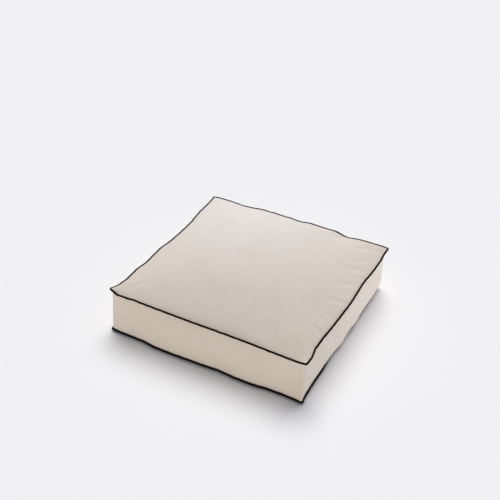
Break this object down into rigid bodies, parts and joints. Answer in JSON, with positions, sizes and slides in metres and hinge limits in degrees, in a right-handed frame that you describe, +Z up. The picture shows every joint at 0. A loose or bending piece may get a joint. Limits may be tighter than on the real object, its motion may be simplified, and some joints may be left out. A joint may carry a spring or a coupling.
{
  "type": "floor cushion",
  "caption": "Square boxed floor cushion with a piped, zipped woven cover over a lined foam and fibre filling.",
  "frame": {"origin": "centre of the flat underside, on the floor", "axes": "+X along the front edge to the right, +Y towards the rear band with the zip, +Z up"},
  "size_m": [0.6202, 0.6202, 0.1624],
  "materials": {
    "cover_weave": "matte",
    "piping_bias": "matte",
    "filler_cord": "matte",
    "zip_tape": "matte",
    "zip_coil": "satin",
    "zip_metal": "satin",
    "label_satin": "satin",
    "lining": "matte",
    "wadding": "matte",
    "foam": "matte"
  },
  "bodies": {
    "cushion": {"cover_top_panel": "cover_weave", "cover_bottom_panel": "cover_weave", "cover_band_front": "cover_weave", "cover_band_right": "cover_weave", "cover_band_left": "cover_weave", "cover_band_rear_lower": "cover_weave", "cover_band_rear_upper": "cover_weave", "piping_sleeve_top": "piping_bias", "piping_sleeve_bottom": "piping_bias", "piping_cord_top": "filler_cord", "piping_cord_bottom": "filler_cord", "zip_tape_upper": "zip_tape", "zip_tape_lower": "zip_tape", "zip_chain_upper": "zip_coil", "zip_chain_lower": "zip_coil", "zip_top_stop_upper": "zip_metal", "zip_top_stop_lower": "zip_metal", "zip_bottom_stop": "zip_metal", "care_label": "label_satin", "liner_top_panel": "lining", "liner_bottom_panel": "lining", "liner_band": "lining", "wadding_top": "wadding", "wadding_bottom": "wadding", "wadding_band": "wadding", "foam_core": "foam"},
    "slider": {"zip_slider": "zip_metal"},
    "pull_tab": {"zip_pull_tab": "zip_metal"}
  },
  "joints": [
    {"name": "zip_slide", "type": "slide", "parent": "cushion", "child": "slider", "axis": [-1, 0, 0], "range_m": [0, 0.529]},
    {"name": "pull_tab_swing", "type": "hinge", "parent": "slider", "child": "pull_tab", "pos_m": [0.2645, 0.30335, 0.07695], "axis": [0, 0, -1], "range_deg": [0, 180]}
  ]
}
